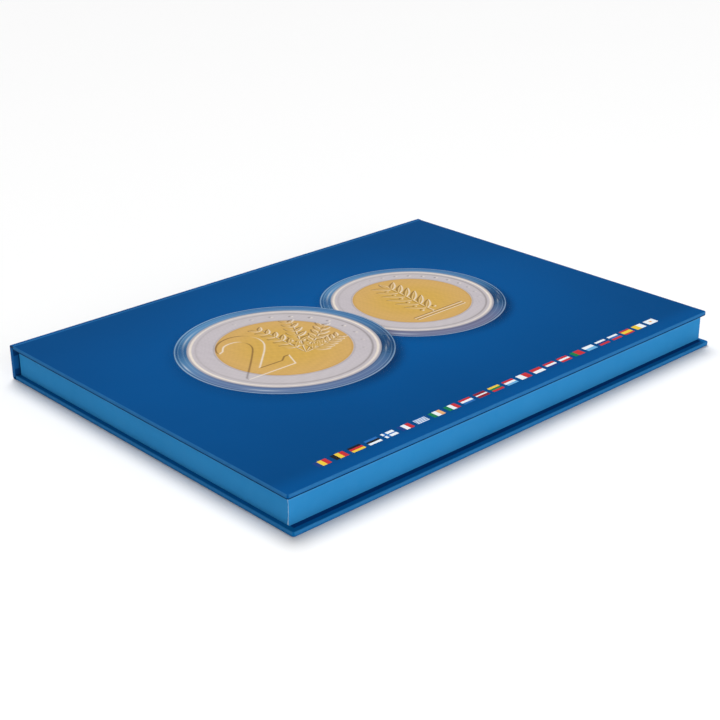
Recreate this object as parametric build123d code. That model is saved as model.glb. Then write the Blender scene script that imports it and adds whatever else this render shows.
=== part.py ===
"""Landscape coin album: a wrap-around case with a glued-in tray and a coin panel in capsules.

Frame: millimetres, +X along the spine, +Y from the fore-edge towards the spine, +Z up.
The origin is the centre of the footprint, on the surface that the closed album rests on.
"""
from build123d import *
import os

# ---- case ---------------------------------------------------------------------------------
CASE_LENGTH = 304.0         # along the spine
CASE_DEPTH = 229.5          # fore-edge to the spine's outer face
CASE_HEIGHT = 19.5          # table to the lid's top face
BOARD = 2.0                 # greyboard of the lid, spine and base
PAPER = 0.25                # every wrapping and lining paper
LID_SETBACK = 3.1           # lid's fore-edge behind the base's fore-edge
TURN_IN = 3.0               # wrapping paper that shows round each inside lining
CORNER_ROUND = 1.5          # plan radius of the wrapped corners
EDGE_ROUND = 0.6            # radius of the wrapped edges

# ---- paper hinges -------------------------------------------------------------------------
HINGE_STANDOFF = 3.2        # base's and lid's hinge edge ahead of the spine's outer face
HINGE_BEND = 1.2            # outer radius of the bend in the hinge paper, and height where the spine begins
HINGE_LAP = 2.4             # hinge paper glued to the spine beyond the bend

# ---- tray ---------------------------------------------------------------------------------
TRAY_BOARD = 2.0            # greyboard of the tray's walls
TRAY_FLOOR = 1.5            # greyboard of the tray's floor
FRONT_LEDGE = 5.7           # base that shows ahead of the tray
BACK_LEDGE = 4.4            # from the spine's outer face to the tray's back
LEFT_LEDGE = 2.6            # base that shows beyond the tray's left end
RIGHT_LEDGE = 1.6           # base that shows beyond the tray's right end
LID_SEAT_GAP = 0.2          # from the tray's rim up to the lid's lining

# ---- coins and capsules -------------------------------------------------------------------
COIN_RADIUS = 12.875        # bimetallic coin
COIN_THICKNESS = 2.2        # over the rim
COIN_RIM = 0.7              # width of the raised rim
COIN_FIELD_DROP = 0.15      # field below the rim, on each face
CENTRE_RADIUS = 9.375       # inner metal
METAL_JOINT = 0.03          # between the two metals
CAPSULE_RADIUS = 16.0
CAPSULE_WALL = 1.2          # floor and top of the capsule
COLLAR_WALL = 1.4           # ring that holds the coin
COIN_CLEARANCE = 0.15       # coin to collar, and coin to the capsule's top
SKIRT_CLEARANCE = 0.1       # collar to the cover's skirt
CAPSULE_EDGE = 0.4          # rounding of the capsule's outer edges

# ---- coin panel ---------------------------------------------------------------------------
COLUMNS = 6
ROWS = 4
COLUMN_PITCH = 47.0
ROW_PITCH = 50.0
WELL_CLEARANCE = 0.3        # capsule to the wall of its well
PANEL_CLEARANCE = 0.6       # panel and foam to the tray's walls
SPACER_FOAM = 5.0
PANEL_CORE = 3.75
VELVET = 0.3
WELL_SHIFT = 3.5            # wells moved towards the spine, to leave room for the labels
LABEL_LENGTH = 34.0
LABEL_WIDTH = 7.0
LABEL_PAPER = 0.2
LABEL_GAP = 2.2             # well's edge to its label
RIBBON_WIDTH = 11.0
RIBBON_THICKNESS = 0.35
RIBBON_TONGUE = 11.0        # ribbon that lies on the panel
RIBBON_GAP = 0.1            # ribbon to the panel's end

# ---- worked out from the sizes above ------------------------------------------------------
WRAPPED = BOARD + 2 * PAPER
BACK_FACE = CASE_DEPTH / 2
FRONT_FACE = -CASE_DEPTH / 2
HINGE_EDGE = BACK_FACE - HINGE_STANDOFF
SPINE_BOTTOM = HINGE_BEND
SPINE_TOP = CASE_HEIGHT - HINGE_BEND
LAP_END = HINGE_BEND + HINGE_LAP
TRAY_WALL = TRAY_BOARD + 2 * PAPER
TRAY_LEFT = -CASE_LENGTH / 2 + LEFT_LEDGE
TRAY_RIGHT = CASE_LENGTH / 2 - RIGHT_LEDGE
TRAY_FRONT = FRONT_FACE + FRONT_LEDGE
TRAY_BACK = BACK_FACE - BACK_LEDGE
TRAY_BOTTOM = WRAPPED
TRAY_TOP = CASE_HEIGHT - WRAPPED - LID_SEAT_GAP
INNER_LEFT = TRAY_LEFT + TRAY_WALL
INNER_RIGHT = TRAY_RIGHT - TRAY_WALL
INNER_FRONT = TRAY_FRONT + TRAY_WALL
INNER_BACK = TRAY_BACK - TRAY_WALL
LINING_TOP = TRAY_BOTTOM + TRAY_FLOOR + PAPER
PANEL_LEFT = INNER_LEFT + PANEL_CLEARANCE
PANEL_RIGHT = INNER_RIGHT - PANEL_CLEARANCE
PANEL_FRONT = INNER_FRONT + PANEL_CLEARANCE
PANEL_BACK = INNER_BACK - PANEL_CLEARANCE
WELL_FLOOR = LINING_TOP + SPACER_FOAM
CORE_TOP = WELL_FLOOR + PANEL_CORE
VELVET_TOP = CORE_TOP + VELVET
WELL_RADIUS = CAPSULE_RADIUS + WELL_CLEARANCE
COLLAR_INSIDE = COIN_RADIUS + COIN_CLEARANCE
COLLAR_OUTSIDE = COLLAR_INSIDE + COLLAR_WALL
SKIRT_INSIDE = COLLAR_OUTSIDE + SKIRT_CLEARANCE
COIN_SEAT = WELL_FLOOR + CAPSULE_WALL
COVER_UNDERSIDE = COIN_SEAT + COIN_THICKNESS + COIN_CLEARANCE


def slab(x0, x1, y0, y1, z0, z1):
    """A box between two opposite corners."""
    middle = Pos((x0 + x1) / 2, (y0 + y1) / 2, (z0 + z1) / 2)
    return middle * Box(x1 - x0, y1 - y0, z1 - z0)


def disc(radius, z0, z1):
    """A round plate about the Z axis."""
    return Pos(0, 0, (z0 + z1) / 2) * Cylinder(radius, z1 - z0)


def ring(outer, inner, z0, z1):
    """A round collar about the Z axis."""
    return disc(outer, z0, z1) - disc(inner, z0, z1)


def soft_slab(x0, x1, y0, y1, z0, z1, corner, edge):
    """A box with its two front uprights rounded, and every outside edge but the hinge edge's."""
    block = slab(x0, x1, y0, y1, z0, z1)
    uprights = block.edges().filter_by(Axis.Z).group_by(Axis.Y)[0]
    block = fillet(uprights, corner)
    rims = block.edges().group_by(Axis.Z)
    outline = (rims[0] + rims[-1]).filter_by(lambda rim: rim.center().Y < y1 - edge)
    return fillet(outline, edge)


def wrapped_board(depth):
    """Board, wrapping paper and lining of one cover, outer face down, fore-edge along Y = 0."""
    half = CASE_LENGTH / 2
    board = soft_slab(-half + PAPER, half - PAPER, PAPER, depth, PAPER, PAPER + BOARD,
                      CORNER_ROUND - PAPER, EDGE_ROUND - PAPER)
    lining = slab(-half + TURN_IN, half - TURN_IN, TURN_IN, depth, PAPER + BOARD, WRAPPED)
    envelope = soft_slab(-half, half, 0, depth, 0, WRAPPED, CORNER_ROUND, EDGE_ROUND)
    return board, envelope - board - lining, lining


def base_cover():
    """The base, lying on its wrapping paper."""
    board, paper, lining = wrapped_board(HINGE_EDGE - FRONT_FACE)
    place = Pos(0, FRONT_FACE, 0)
    return {"base_board": place * board, "base_cover_paper": place * paper, "base_lining": place * lining}


def lid_cover():
    """The lid, a shallower copy of the base turned over."""
    depth = HINGE_EDGE - FRONT_FACE - LID_SETBACK
    place = Pos(0, FRONT_FACE + LID_SETBACK, CASE_HEIGHT)
    names = ("lid_board", "lid_cover_paper", "lid_lining")
    return {name: place * mirror(piece, about=Plane.XY) for name, piece in zip(names, wrapped_board(depth))}


def spine():
    """The spine: a narrow board on edge, with paper round its ends and the hinge papers lapping it."""
    half = CASE_LENGTH / 2
    inner = BACK_FACE - WRAPPED
    low, high = SPINE_BOTTOM, SPINE_TOP
    board = slab(-half + PAPER, half - PAPER, inner + PAPER, BACK_FACE - PAPER, low, high)
    lining = slab(-half + TURN_IN, half - TURN_IN, inner, inner + PAPER, low, high)
    sheet = slab(-half, half, BACK_FACE - PAPER, BACK_FACE, LAP_END, CASE_HEIGHT - LAP_END)
    wrap = slab(-half, half, inner, BACK_FACE - PAPER, low, high) - board - lining
    return {"spine_board": board, "spine_cover_paper": sheet + wrap, "spine_lining": lining}


def hinge_paper():
    """The lower hinge paper: level under the joint, then bent up onto the spine's outer face."""
    bend = HINGE_BEND
    inner_face = BACK_FACE - PAPER
    outer = [(HINGE_EDGE, 0), (BACK_FACE - bend, 0), (BACK_FACE, bend), (BACK_FACE, LAP_END)]
    inner = [(inner_face, LAP_END), (inner_face, bend), (BACK_FACE - bend, PAPER), (HINGE_EDGE, PAPER)]
    centre = (BACK_FACE - bend, bend)
    with BuildPart() as strip:
        with BuildSketch(Plane.YZ):
            with BuildLine():
                Line(outer[0], outer[1])
                CenterArc(centre, bend, -90, 90)
                Line(outer[2], outer[3])
                Line(outer[3], inner[0])
                Line(inner[0], inner[1])
                CenterArc(centre, bend - PAPER, 0, -90)
                Line(inner[2], inner[3])
                Line(inner[3], outer[0])
            make_face()
        extrude(amount=CASE_LENGTH / 2, both=True)
    return strip.part


def hinges():
    """Both hinge papers: the upper one is the lower one turned over."""
    lower = hinge_paper()
    upper = Pos(0, 0, CASE_HEIGHT) * mirror(lower, about=Plane.XY)
    return {"lower_hinge_paper": lower, "upper_hinge_paper": upper}


def channel(x0, x1, y0, y1, board):
    """Paper folded over a wall: the wall's full block less its board."""
    return slab(x0, x1, y0, y1, TRAY_BOTTOM, TRAY_TOP) - board


def tray():
    """Four paper-covered walls round a lined floor, standing on the base's lining."""
    z0, z1 = TRAY_BOTTOM, TRAY_TOP - PAPER
    front = slab(TRAY_LEFT + PAPER, TRAY_RIGHT - PAPER, TRAY_FRONT + PAPER, INNER_FRONT - PAPER, z0, z1)
    back = slab(TRAY_LEFT + PAPER, TRAY_RIGHT - PAPER, INNER_BACK + PAPER, TRAY_BACK - PAPER, z0, z1)
    left = slab(TRAY_LEFT + PAPER, INNER_LEFT - PAPER, INNER_FRONT, INNER_BACK, z0, z1)
    right = slab(INNER_RIGHT + PAPER, TRAY_RIGHT - PAPER, INNER_FRONT, INNER_BACK, z0, z1)
    pieces = {"tray_front_wall": front, "tray_back_wall": back}
    pieces |= {"tray_left_wall": left, "tray_right_wall": right}
    pieces["tray_front_paper"] = channel(TRAY_LEFT, TRAY_RIGHT, TRAY_FRONT, INNER_FRONT, front)
    pieces["tray_back_paper"] = channel(TRAY_LEFT, TRAY_RIGHT, INNER_BACK, TRAY_BACK, back)
    pieces["tray_left_paper"] = channel(TRAY_LEFT, INNER_LEFT, INNER_FRONT, INNER_BACK, left)
    pieces["tray_right_paper"] = channel(INNER_RIGHT, TRAY_RIGHT, INNER_FRONT, INNER_BACK, right)
    floor_top = TRAY_BOTTOM + TRAY_FLOOR
    inside = (INNER_LEFT, INNER_RIGHT, INNER_FRONT, INNER_BACK)
    pieces["tray_floor_board"] = slab(*inside, TRAY_BOTTOM, floor_top)
    pieces["tray_floor_lining"] = slab(*inside, floor_top, LINING_TOP)
    return pieces


def well_places():
    """The centre of every well, column by column and row by row."""
    middle_x = (PANEL_LEFT + PANEL_RIGHT) / 2
    middle_y = (PANEL_FRONT + PANEL_BACK) / 2 + WELL_SHIFT
    places = []
    for row in range(ROWS):
        for column in range(COLUMNS):
            x = middle_x + (column - (COLUMNS - 1) / 2) * COLUMN_PITCH
            y = middle_y + (row - (ROWS - 1) / 2) * ROW_PITCH
            places.append((x, y))
    return places


def repeated(piece):
    """One copy of a piece at every well, as a group of separate solids."""
    return Compound(children=[Pos(x, y, 0) * piece for x, y in well_places()])


def coin_panel():
    """Spacer foam, the die-cut panel and its velvet, with a label under every well."""
    outline = (PANEL_LEFT, PANEL_RIGHT, PANEL_FRONT, PANEL_BACK)
    wells = [Pos(x, y, 0) * disc(WELL_RADIUS, WELL_FLOOR, VELVET_TOP) for x, y in well_places()]
    label_back = -WELL_RADIUS - LABEL_GAP
    label = slab(-LABEL_LENGTH / 2, LABEL_LENGTH / 2, label_back - LABEL_WIDTH, label_back,
                 VELVET_TOP, VELVET_TOP + LABEL_PAPER)
    return {
        "spacer_foam": slab(*outline, LINING_TOP, WELL_FLOOR),
        "coin_panel_core": slab(*outline, WELL_FLOOR, CORE_TOP) - wells,
        "coin_panel_velvet": slab(*outline, CORE_TOP, VELVET_TOP) - wells,
        "well_labels": repeated(label),
    }


def ribbon(end_x, inward):
    """A lifting ribbon: up one end of the panel, then folded flat onto the velvet."""
    middle_y = (PANEL_FRONT + PANEL_BACK) / 2
    y0, y1 = middle_y - RIBBON_WIDTH / 2, middle_y + RIBBON_WIDTH / 2
    near = end_x - inward * RIBBON_GAP
    far = near - inward * RIBBON_THICKNESS
    tip = end_x + inward * RIBBON_TONGUE
    riser = slab(min(near, far), max(near, far), y0, y1, WELL_FLOOR, VELVET_TOP)
    tongue = slab(min(far, tip), max(far, tip), y0, y1, VELVET_TOP, VELVET_TOP + RIBBON_THICKNESS)
    return riser + tongue


def capsule():
    """A round coin capsule: a base with a collar, and a cover whose skirt stands on the base."""
    base = disc(CAPSULE_RADIUS, WELL_FLOOR, COIN_SEAT)
    base = fillet(base.edges().group_by(Axis.Z)[0], CAPSULE_EDGE)
    base += ring(COLLAR_OUTSIDE, COLLAR_INSIDE, COIN_SEAT, COIN_SEAT + COIN_THICKNESS)
    cover = disc(CAPSULE_RADIUS, COIN_SEAT, COVER_UNDERSIDE + CAPSULE_WALL)
    cover = fillet(cover.edges().group_by(Axis.Z)[-1], CAPSULE_EDGE)
    cover -= disc(SKIRT_INSIDE, COIN_SEAT, COVER_UNDERSIDE)
    return base, cover


def coin():
    """A bimetallic coin: an outer ring with a raised rim, and the inner metal flush with its field."""
    top = COIN_SEAT + COIN_THICKNESS
    low_field = COIN_SEAT + COIN_FIELD_DROP
    high_field = top - COIN_FIELD_DROP
    outer = disc(COIN_RADIUS, COIN_SEAT, top)
    outer -= disc(COIN_RADIUS - COIN_RIM, COIN_SEAT, low_field)
    outer -= disc(COIN_RADIUS - COIN_RIM, high_field, top)
    outer -= disc(CENTRE_RADIUS, low_field, high_field)
    return outer, disc(CENTRE_RADIUS - METAL_JOINT, low_field, high_field)


def album():
    """Every piece of the album by its name."""
    capsule_base, capsule_cover = capsule()
    coin_ring, coin_centre = coin()
    pieces = base_cover() | lid_cover() | spine() | hinges() | tray() | coin_panel()
    pieces["left_ribbon_pull"] = ribbon(PANEL_LEFT, 1)
    pieces["right_ribbon_pull"] = ribbon(PANEL_RIGHT, -1)
    pieces["capsule_bases"] = repeated(capsule_base)
    pieces["capsule_covers"] = repeated(capsule_cover)
    pieces["coin_rings"] = repeated(coin_ring)
    pieces["coin_centres"] = repeated(coin_centre)
    return pieces


os.makedirs("parts", exist_ok=True)
for name, piece in album().items():
    export_step(piece, f"parts/{name}.step")
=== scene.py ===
"""Looks of a landscape coin album: a wrapped case, a tray, a velvet coin panel and a printed lid."""
import logging
import math
from dataclasses import dataclass
from enum import Enum
from typing import Callable, Sequence

import bpy
import numpy as np
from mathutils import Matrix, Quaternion, Vector


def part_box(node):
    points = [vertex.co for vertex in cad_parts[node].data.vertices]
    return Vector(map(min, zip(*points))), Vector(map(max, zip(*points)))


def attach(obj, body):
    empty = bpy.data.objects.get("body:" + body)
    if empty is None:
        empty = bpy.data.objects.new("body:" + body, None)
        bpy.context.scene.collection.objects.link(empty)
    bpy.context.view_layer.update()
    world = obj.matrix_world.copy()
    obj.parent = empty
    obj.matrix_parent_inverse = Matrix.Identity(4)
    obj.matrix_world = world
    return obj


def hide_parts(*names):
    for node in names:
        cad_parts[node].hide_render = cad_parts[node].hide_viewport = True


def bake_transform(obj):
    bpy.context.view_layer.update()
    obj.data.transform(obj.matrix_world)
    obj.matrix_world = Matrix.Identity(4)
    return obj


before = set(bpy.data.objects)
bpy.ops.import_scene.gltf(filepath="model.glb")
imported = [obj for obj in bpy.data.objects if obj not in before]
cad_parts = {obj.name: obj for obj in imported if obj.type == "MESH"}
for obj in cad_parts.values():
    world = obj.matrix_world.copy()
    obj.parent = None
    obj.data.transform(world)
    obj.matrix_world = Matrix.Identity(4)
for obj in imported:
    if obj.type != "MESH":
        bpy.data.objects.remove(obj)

LOG = logging.getLogger("coin_album")
MM = 0.001
FAR = 10.0
Array, Piece, Material = np.ndarray, bpy.types.Object, bpy.types.Material
Node, Socket, Tree = bpy.types.Node, bpy.types.NodeSocket, bpy.types.NodeTree
Pair, Triple = tuple[float, float], tuple[float, float, float]
Colour, Shape = Triple, tuple[Array, Array]
Relief = Callable[[Array, Array], Array]


def paint(red: int, green: int, blue: int) -> Colour:
    """Turn a paint mixed on the 0 to 255 scale into linear light.

    Args:
        red, green, blue: the three channels.
    Returns:
        Each channel c / 255 raised by the display curve, which is near a power of 2.4.
    """
    def linear(channel: int) -> float:
        """One channel: straight near black, then a power of 2.4."""
        c = channel / 255
        return c / 12.92 if c <= 0.04045 else ((c + 0.055) / 1.055) ** 2.4
    return linear(red), linear(green), linear(blue)


def smooth(low: float, high: float, value: Array) -> Array:
    """A soft step: t * t * (3 - 2 t), where t runs from 0 at low to 1 at high."""
    t = np.clip((value - low) / (high - low), 0, 1)
    return t * t * (3 - 2 * t)


def bell(value: Array, centre: float, width: float) -> Array:
    """A bell curve: e to the minus square of the distance from the centre in widths."""
    return np.exp(-((value - centre) / width) ** 2)


def beside(*parts: Array | float) -> Array:
    """Set numbers side by side along a new last axis, each stretched to the shape they share."""
    return np.stack(np.broadcast_arrays(*parts), -1)


# Meshes

def grid_faces(rows: int, columns: int, wrap_rows: bool = False, wrap_columns: bool = False) -> Array:
    """Quads of a grid of points, numbered row by row.

    Args:
        rows, columns: how many points there are each way.
        wrap_rows, wrap_columns: whether the last row or column joins the first.
    Returns:
        One row of four point numbers for each quad.
    """
    i = np.arange(rows if wrap_rows else rows - 1)[:, None]
    j = np.arange(columns if wrap_columns else columns - 1)[None, :]
    here, right = i * columns, (j + 1) % columns
    below = ((i + 1) % rows) * columns
    return beside(here + j, here + right, below + right, below + j).reshape(-1, 4)


def make_piece(name: str, points: Array, *faces: Array, crease: float | None = 35.0) -> Piece:
    """Put points and faces into a mesh object at the origin.

    Args:
        name: the piece's name.
        points: one row of x, y, z for each point, in metres.
        faces: arrays of quads or triangles, as rows of point numbers.
        crease: the angle in degrees past which an edge is drawn sharp, or None for flat faces.
    Returns:
        The new object, linked to the scene.
    """
    mesh = bpy.data.meshes.new(name)
    mesh.from_pydata(points.reshape(-1, 3).tolist(), [], [row for rows in faces for row in rows.tolist()])
    mesh.polygons.foreach_set("use_smooth", np.full(len(mesh.polygons), crease is not None))
    if crease is not None:
        mesh.set_sharp_from_angle(angle=math.radians(crease))
    mesh.update()
    piece = bpy.data.objects.new(name, mesh)
    bpy.context.scene.collection.objects.link(piece)
    LOG.info("%s: %d faces", name, len(mesh.polygons))
    return piece


def outward(points: Array, faces: Array) -> Array:
    """Turn the quads of a closed shape to face out, by the sign of the sum of its corner triple products."""
    a, b, c, d = (points.reshape(-1, 3)[faces[:, k]] for k in range(4))
    volume = np.einsum("ij,ij->", a, np.cross(b, c)) + np.einsum("ij,ij->", a, np.cross(c, d))
    return faces if volume > 0 else faces[:, ::-1]


def repeat_at(points: Array, faces: Array, places: Array) -> Shape:
    """Copy one shape to many places, as one mesh.

    Args:
        points, faces: the shape.
        places: one row of x, y, z for each copy.
    Returns:
        Every copy's points, each moved by its place, and their faces.
    """
    flat = points.reshape(-1, 3)
    moved = flat[None] + places[:, None]
    numbered = faces[None] + (np.arange(len(places)) * len(flat))[:, None, None]
    return moved.reshape(-1, 3), numbered.reshape(-1, faces.shape[1])


def turned(profile: Array, segments: int) -> Shape:
    """Turn a closed profile about the Z axis.

    Args:
        profile: radius and height of each point, going round so that faces point outwards.
        segments: how many steps make the full turn.
    Returns:
        Points (r cos a, r sin a, z) for each angle a, and the quads between them.
    """
    angle = np.arange(segments) * (2 * np.pi / segments)
    radius, height = profile[:, 0][:, None], profile[:, 1][:, None]
    points = beside(radius * np.cos(angle), radius * np.sin(angle), height)
    return points, grid_faces(len(profile), segments, wrap_rows=True, wrap_columns=True)


class Along(Enum):
    """The axis that a strip's section is carried along."""

    X = 0
    Y = 1


def carried(path: Array, thickness: float, along: Array, axis: Along) -> Shape:
    """Carry a thin strip's section along an axis.

    Args:
        path: the other level coordinate and the height of one face of the strip, point by point.
        thickness: how far the other face lies, to the left of the path; negative for the right.
        along: the stations on the axis.
        axis: which axis it is.
    Returns:
        The section, path and offset path, at each station, and the quads of the closed strip.
    """
    run = np.gradient(path, axis=0)
    run /= np.linalg.norm(run, axis=1)[:, None]
    section = np.vstack([path, (path + thickness * beside(-run[:, 1], run[:, 0]))[::-1]])
    points = np.empty((len(along), len(section), 3))
    points[..., axis.value] = along[:, None]
    points[..., 1 - axis.value] = section[None, :, 0]
    points[..., 2] = section[None, :, 1]
    count, first = len(path), np.arange(len(path) - 1)
    cap = beside(first, 2 * count - 1 - first, 2 * count - 2 - first, first + 1)
    faces = np.vstack([grid_faces(len(along), len(section), wrap_columns=True),
                       cap[:, ::-1], cap + (len(along) - 1) * len(section)])
    return points, outward(points, faces)


def bent(start: Pair, corner: Pair, end: Pair, radius: float,
         steps: int = 12) -> Array:
    """A path of two straight runs joined by a quarter turn.

    Args:
        start, corner, end: where it starts, turns and ends.
        radius: the turn's radius.
        steps: the points in each of its three parts.
    Returns:
        Points: corner - in - out + r (in sin a + out (1 - cos a)) round the turn, straight either side.
    """
    a, c, e = (np.array(p, float) for p in (start, corner, end))
    come, leave = (c - a) / np.linalg.norm(c - a), (e - c) / np.linalg.norm(e - c)
    turn = np.linspace(0, np.pi / 2, steps)[:, None]
    arc = c - radius * come + radius * (come * np.sin(turn) + leave * (1 - np.cos(turn)))
    share = np.linspace(0, 1, steps)[:, None]
    return np.vstack([(a + (arc[0] - a) * share)[:-1], arc, (arc[-1] + (e - arc[-1]) * share)[1:]])


# Shader node groups

@dataclass
class NodeBench:
    """A small bench for wiring up one node tree."""

    tree: Tree

    def add(self, kind: str, **settings: object) -> Node:
        """Add a node and set its properties by name."""
        node = self.tree.nodes.new(kind)
        for key, value in settings.items():
            setattr(node, key, value)
        return node

    def feed(self, source: object, node: Node, socket: object) -> None:
        """Give an input socket a link, if the source is a socket, or else a value."""
        if isinstance(source, Socket):
            self.tree.links.new(source, node.inputs[socket])
        else:
            node.inputs[socket].default_value = source

    def math(self, operation: str, *values: object, clamp: bool = False) -> Socket:
        """Do a sum with a Math node and return its result."""
        node = self.add("ShaderNodeMath", operation=operation, use_clamp=clamp)
        for index, value in enumerate(values):
            self.feed(value, node, index)
        return node.outputs[0]

    def vector(self, operation: str, *values: object) -> Socket:
        """Do a sum with a Vector Math node and return its vector, or its value for a length or product."""
        node = self.add("ShaderNodeVectorMath", operation=operation)
        for index, value in enumerate(values):
            self.feed(value, node, index)
        return node.outputs[1 if operation in ("LENGTH", "DOT_PRODUCT") else 0]

    def times(self, first: object, second: object, clamp: bool = False) -> Socket:
        """Multiply two numbers."""
        return self.math("MULTIPLY", first, second, clamp=clamp)

    def plus(self, first: object, second: object, clamp: bool = False) -> Socket:
        """Add two numbers."""
        return self.math("ADD", first, second, clamp=clamp)

    def parts(self, vector: object) -> list[Socket]:
        """Split a vector into its x, y and z."""
        node = self.add("ShaderNodeSeparateXYZ")
        self.feed(vector, node, 0)
        return list(node.outputs)

    def span(self, value: object, low: float, high: float, to_low: float = 0.0,
             to_high: float = 1.0) -> Socket:
        """Map a value softly from one span to another."""
        node = self.add("ShaderNodeMapRange", interpolation_type="SMOOTHSTEP")
        for index, number in enumerate((value, low, high, to_low, to_high)):
            self.feed(number, node, index)
        return node.outputs[0]

    def noise(self, place: object, scale: float, detail: float = 3.0) -> Socket:
        """Cloudy noise from 0 to 1 at a place."""
        node = self.add("ShaderNodeTexNoise")
        self.feed(place, node, "Vector")
        node.inputs["Scale"].default_value = scale
        node.inputs["Detail"].default_value = detail
        return node.outputs["Fac"]

    def blend(self, share: object, first: object, second: object) -> Socket:
        """Mix two colours by a share from 0 to 1."""
        node = self.add("ShaderNodeMix", data_type="RGBA")
        for socket, value in zip((0, 6, 7), (share, first, second)):
            if not isinstance(value, (Socket, float)):
                value = (*value, 1.0)
            self.feed(value, node, socket)
        return node.outputs[2]

    def group(self, tree: Tree, **inputs: object) -> Node:
        """Place a node group and feed its named inputs."""
        node = self.add("ShaderNodeGroup", node_tree=tree)
        for key, value in inputs.items():
            self.feed(value, node, key.replace("_", " "))
        return node


def new_group(name: str, vectors: str, numbers: str, outputs: str) -> tuple[NodeBench, list[Socket], Node]:
    """Start a shader node group.

    Args:
        name: the group's name.
        vectors, numbers: its inputs of each kind, vectors first, with commas between.
        outputs: the names of its number outputs.
    Returns:
        Its bench, its inputs in order and its output node.
    """
    tree = bpy.data.node_groups.new(name, "ShaderNodeTree")
    for names, way, kind in ((vectors, "INPUT", "Vector"), (numbers, "INPUT", "Float"), (outputs, "OUTPUT", "Float")):
        for key in names.split(","):
            tree.interface.new_socket(key, in_out=way, socket_type="NodeSocket" + kind)
    bench = NodeBench(tree)
    return bench, list(bench.add("NodeGroupInput").outputs), bench.add("NodeGroupOutput")


def paper_grain_group() -> Tree:
    """Paper: a fine fibre height, and a soft cloud where the ink took more or less."""
    bench, (place, size, *_), end = new_group("paper_grain", "Place", "Fibre Size", "Height,Cloud")
    scaled = bench.add("ShaderNodeVectorMath", operation="SCALE")
    bench.feed(place, scaled, 0)
    bench.feed(bench.math("DIVIDE", 1.0, size), scaled, "Scale")
    fibres = bench.noise(scaled.outputs[0], 1.0, 6.0)
    stretched = bench.vector("MULTIPLY", scaled.outputs[0], (0.18, 1.0, 1.0))
    bench.feed(bench.plus(bench.times(fibres, 0.6), bench.times(bench.noise(stretched, 0.9, 2.0), 0.4)), end, "Height")
    bench.feed(bench.noise(place, 14.0, 3.0), end, "Cloud")
    return bench.tree


def painted_edge_light_shade_group() -> Tree:
    """Painted light and shade round a wrapped board.

    The first output is a painted highlight within a reach of the plan outline and of the arris level, paler down
    the edge faces and broken up by noise. The second is a painted shade line, high on the edge faces within a little
    of the level where the paper folds under.
    """
    bench, (place, centre, half, reach, arris, fold, *_), end = new_group(
        "painted_edge_light_shade", "Place,Centre,Half", "Reach,Arris,Fold Level", "Rub,Fold")
    away = bench.vector("ABSOLUTE", bench.vector("SUBTRACT", place, centre))
    beyond = bench.parts(bench.vector("SUBTRACT", away, half))
    level = bench.parts(place)[2]
    outline = bench.plus(bench.math("DIVIDE", bench.math("MAXIMUM", *beyond[:2]), reach), 1.0, clamp=True)
    up = bench.math("ABSOLUTE", bench.math("SUBTRACT", level, arris))
    near = bench.math("SUBTRACT", 1.0, bench.math("DIVIDE", up, reach), clamp=True)
    face = bench.times(bench.span(up, 0.3 * MM, 2.6 * MM, 0.5, 0.15), bench.span(outline, 0.4, 0.9))
    broken = bench.plus(bench.times(bench.noise(place, 160.0), 0.5), 0.72)
    # Painted highlight: along the plan outline at the arris, paler down the edge faces, broken up by noise.
    painted_highlight = bench.times(bench.times(outline, bench.math("MAXIMUM", near, face)), broken, clamp=True)
    bench.feed(painted_highlight, end, "Rub")
    # Painted shade line on the edge faces at the fold level, standing in for the shade under the board's edge.
    under = bench.math("ABSOLUTE", bench.math("SUBTRACT", level, fold))
    fold_shade_line = bench.span(under, 0.5 * MM, 1.05 * MM, 1.0, 0.0)
    bench.feed(bench.times(fold_shade_line, bench.span(outline, 0.0, 0.6)), end, "Fold")
    return bench.tree


def weave_group() -> Tree:
    """Satin weave: fine ribs across the ribbon, with a slow slub along it."""
    bench, (place, rib, *_), end = new_group("satin_weave", "Place", "Rib", "Height,Slub")
    turns = bench.math("DIVIDE", 2 * math.pi, rib)
    ribs = [bench.math("SINE", bench.times(part, turns)) for part in bench.parts(place)[:2]]
    bench.feed(bench.plus(*ribs), end, "Height")
    bench.feed(bench.noise(place, 900.0), end, "Slub")
    return bench.tree


GRAIN = paper_grain_group()
PAINTED_EDGE_LIGHT_SHADE = painted_edge_light_shade_group()
WEAVE = weave_group()


# Finishes

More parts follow.
